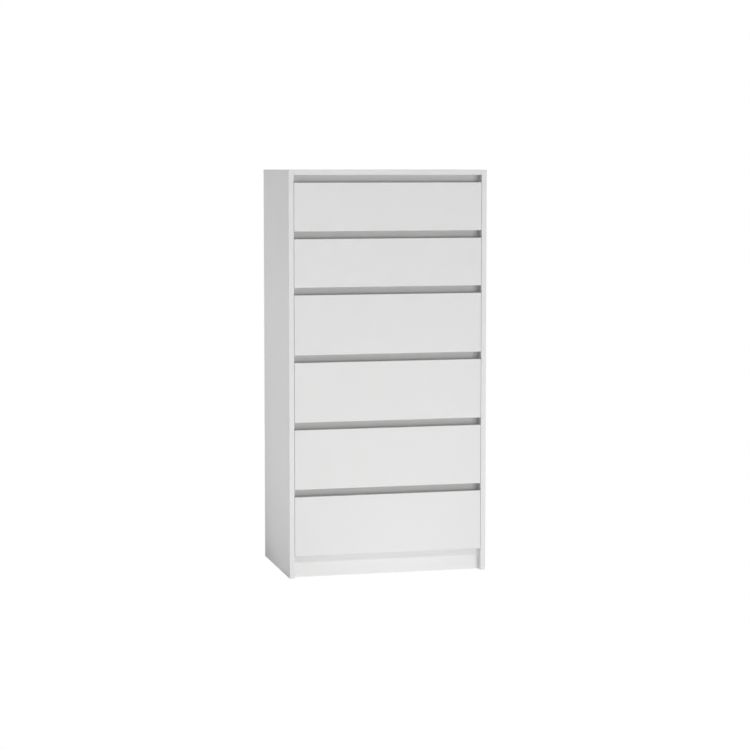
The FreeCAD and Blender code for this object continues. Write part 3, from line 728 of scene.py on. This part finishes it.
def cabinet_runners(name, sign):
    """The channels on one side panel, and the nylon glide in each one's front end."""
    place = mirror_place(sign)
    screws = screw_places("runner_screws")
    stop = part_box("drawer_1_runners")[1].y - REAR_GLIDE - TRAVEL - STOP_PLAY
    steel, nylon = bmesh.new(), bmesh.new()
    for points in solids("cabinet_runners_right"):
        low, high = span_of(points)
        channel(steel, low, high, place, screws)
        flange = (low.z + high.z - STEEL) / 2
        outline = forked(low.x, high.x - STEEL - RIB, low.z + STEEL, high.z - STEEL,
                         low.x + GLIDE_DEPTH, flange - GLIDE_PLAY, flange + STEEL + GLIDE_PLAY)
        glide(nylon, outline, low.y, stop, place)
    channels, glides = "runner_channels_" + name, "runner_glides_" + name
    piece(channels, "carcass", "white_steel", steel, STEEL_WHITE, "cabinet_runners_" + name)
    piece(glides, "carcass", "white_steel", nylon, NYLON)


def drawer_runners(drawer):
    """A drawer's two profiles, and the nylon glide at each one's rear end."""
    screws = screw_places(drawer + "_fittings")
    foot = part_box(drawer + "_side_right")[0].z
    low, high = span_of(solids(drawer + "_runners")[-1])
    flange = (low.z + high.z - STEEL) / 2
    steel, nylon = bmesh.new(), bmesh.new()
    for sign in (1, -1):
        place = mirror_place(sign)
        drawer_profile(steel, foot, low, high, place, screws)
        open_x = high.x - GLIDE_DEPTH
        outline = forked(open_x, high.x, low.z, high.z, high.x - GLIDE_WALL, flange, flange + STEEL)
        glide(nylon, outline, high.y - REAR_GLIDE, high.y, place)
    piece(drawer + "_profiles", drawer, "white_steel", steel, STEEL_WHITE, drawer + "_runners")
    piece(drawer + "_glides", drawer, "white_steel", nylon, NYLON)


def wall_angles():
    """The bent steel angles under the top, with their screws."""
    mesh = bmesh.new()
    for points in solids("wall_brackets"):
        low, high = span_of(points)
        if high.x - low.x < ANGLE_WIDTH:
            tip, head, radius = long_axis(points)
            screw(mesh, tip, head, radius)
            continue
        inner_y, inner_z = high.y - ANGLE_STEEL, high.z - ANGLE_STEEL
        outline = [(low.y, high.z, TIP), (high.y, high.z, 3.0 * MM), (high.y, low.z, TIP)]
        outline += [(inner_y, low.z, TIP), (inner_y, inner_z, 1.0 * MM), (low.y, inner_z, TIP)]
        hole = ((low.x + high.x) / 2, high.z - ANGLE_HOLE_DROP, ANGLE_HOLE, ANGLE_HOLE)
        prism(mesh, rounded(outline), low.x, high.x, lambda a, b, t: Vector((t, a, b)), [hole])
    piece("wall_angles", "carcass", "zinc", mesh, ZINC, "wall_brackets")


STEEL_WHITE = coated_steel()
NYLON = nylon()
ZINC = zinc()
paint_carcass()
paint_drawers()
fittings("cam_fittings", "carcass")
fittings("runner_screws", "carcass")
wall_angles()
for side_name, side_sign in (("right", 1), ("left", -1)):
    cabinet_runners(side_name, side_sign)
for drawer_name in DRAWERS:
    drawer_runners(drawer_name)
    fittings(drawer_name + "_fittings", drawer_name)

# ---------------------------------------------------------------- floor, light and camera
KEY_AZIMUTH = math.radians(19.0)          # to the right of straight ahead of the fronts
KEY_HEIGHT = math.radians(44.0)
KEY_POWER = 0.576
KEY_SOFTNESS = math.radians(3.0)
# Name, watts, spread, width and height, place, and what it points at.
SOFT_LIGHTS = (
    ("front_box", 55.5, 180.0, (3.0, 1.2), (0.8, -5.0, 0.75), (0.0, 0.0, 0.6)),
    ("floor_strip", 1.6, 180.0, (3.0, 0.3), (0.4, -1.6, 0.16), (0.0, 0.0, 0.2)),
    ("top_box", 1.1, 52.0, (0.4, 0.2), (0.0, 0.02, 2.7), (0.0, 0.02, 1.2)),
    ("foot_box", 0.12, 30.0, (0.15, 0.1), (0.61, -1.96, 1.86), (0.0, -0.19, 0.05)),
)
SKY = 0.125                               # brightness of the studio overhead
# Axis, its values where a brighter wall begins and is full, and how much is added there.
SKY_SIDES = (
    (0, 0.0, -1.0, 0.336),
    (0, 0.5, 1.0, 0.384),
    (1, 0.0, -1.0, 0.23),
    (1, 0.9, 1.0, 1.2),
)
FLOOR_RADIUS = 7.0
# Bright places on the floor: x, y, inner and outer radius, and glow.
POOLS = (
    (0.1, -0.75, 0.1, 0.8, 0.1),
    (-0.55, 0.0, 0.05, 0.3, 0.5),
    (-1.6, -0.1, 0.2, 1.1, 2.78),
)
FLOOR_GLOW = 0.33
FLOOR_STEPS = 96
WHITE = (1.0, 1.0, 1.0, 1.0)
LENS = 101.52
SENSOR = 36.0
LENS_SHIFT = -0.06
CAMERA_PLACE = (-1.544, -6.215, 1.213)
CAMERA_TILT = math.radians(4.451)         # below level
CAMERA_TURN = math.radians(14.0)          # to the right


def make_floor():
    """A round pale floor that glows, more so in its pools, and is plain white to the camera."""
    mesh = bpy.data.meshes.new("floor")
    rim = []
    for turn in turns(FLOOR_STEPS):
        rim.append((math.cos(turn) * FLOOR_RADIUS, math.sin(turn) * FLOOR_RADIUS, 0.0))
    mesh.from_pydata(rim, [], [tuple(range(FLOOR_STEPS))])
    floor = bpy.data.objects.new("floor", mesh)
    bpy.context.scene.collection.objects.link(floor)
    painter = Painter("pale_floor", 0.9)
    painter.colour(painter.blend(painter.noise(1.5, 4.0), grey(0.86), grey(0.88)))
    painter.shader.inputs["Specular IOR Level"].default_value = 0.0
    painter.shader.inputs["Emission Color"].default_value = WHITE
    glow = FLOOR_GLOW
    for x, y, inner, outer, strength in POOLS:
        inputs = {0: painter.place, 1: (x, y, 0.0)}
        away = painter.node("ShaderNodeVectorMath", inputs, operation="DISTANCE").outputs["Value"]
        glow = painter.math("ADD", glow, painter.span(away, inner, outer, strength, 0.0))
    painter.set(painter.shader.inputs["Emission Strength"], glow)
    white = painter.node("ShaderNodeEmission", {"Color": WHITE, "Strength": 1.0})
    seen = painter.node("ShaderNodeLightPath", {}).outputs["Is Camera Ray"]
    shaders = {0: seen, 1: painter.shader.outputs[0], 2: white.outputs[0]}
    surface = painter.node("ShaderNodeMixShader", shaders).outputs[0]
    painter.set(painter.tree.nodes["Material Output"].inputs["Surface"], surface)
    mesh.materials.append(painter.material)


def make_sky():
    """A white studio with brighter walls, which the camera sees as plain white."""
    world = bpy.data.worlds.new("studio")
    bpy.context.scene.world = world
    world.use_nodes = True
    tree = Tree(world.node_tree)
    way = tree.parts(tree.node("ShaderNodeTexCoord", {}).outputs["Generated"])
    low = tree.span(way[2], 0.1, 0.5, 1.0, 0.0)
    strength = SKY
    for axis, start, full, brightness in SKY_SIDES:
        wall = tree.math("MULTIPLY", tree.span(way[axis], start, full, 0.0, brightness), low)
        strength = tree.math("ADD", strength, wall)
    seen = tree.node("ShaderNodeLightPath", {}).outputs["Is Camera Ray"]
    strength = tree.node("ShaderNodeMix", {0: seen, 2: strength, 3: 1.0}).outputs[0]
    background = world.node_tree.nodes["Background"]
    tree.set(background.inputs["Color"], WHITE)
    tree.set(background.inputs["Strength"], strength)


def make_lights():
    sun = bpy.data.lights.new("key", "SUN")
    sun.energy = KEY_POWER
    sun.angle = KEY_SOFTNESS
    key = bpy.data.objects.new("key", sun)
    bpy.context.scene.collection.objects.link(key)
    flat = math.cos(KEY_HEIGHT)
    towards = Vector((math.sin(KEY_AZIMUTH) * flat, -math.cos(KEY_AZIMUTH) * flat,
                      math.sin(KEY_HEIGHT)))
    key.rotation_euler = towards.to_track_quat("Z", "Y").to_euler()

    for name, power, spread, size, place, target in SOFT_LIGHTS:
        soft = bpy.data.lights.new(name, "AREA")
        soft.energy = power
        soft.spread = math.radians(spread)
        soft.shape = "RECTANGLE"
        soft.size, soft.size_y = size
        lamp = bpy.data.objects.new(name, soft)
        bpy.context.scene.collection.objects.link(lamp)
        lamp.location = place
        lamp.rotation_euler = (lamp.location - Vector(target)).to_track_quat("Z", "Y").to_euler()


def make_camera():
    """A little above the top, to the left of the chest, tilted down slightly, with some shift."""
    lens = bpy.data.cameras.new("camera")
    lens.sensor_width = SENSOR
    lens.lens = LENS
    lens.shift_y = LENS_SHIFT
    lens.clip_start = 0.1
    lens.clip_end = 200.0
    camera = bpy.data.objects.new("camera", lens)
    bpy.context.scene.collection.objects.link(camera)
    camera.location = CAMERA_PLACE
    camera.rotation_euler = (math.pi / 2 - CAMERA_TILT, 0.0, -CAMERA_TURN)
    bpy.context.scene.camera = camera


bpy.context.scene.view_settings.view_transform = "Standard"
make_floor()
make_sky()
make_lights()
make_camera()

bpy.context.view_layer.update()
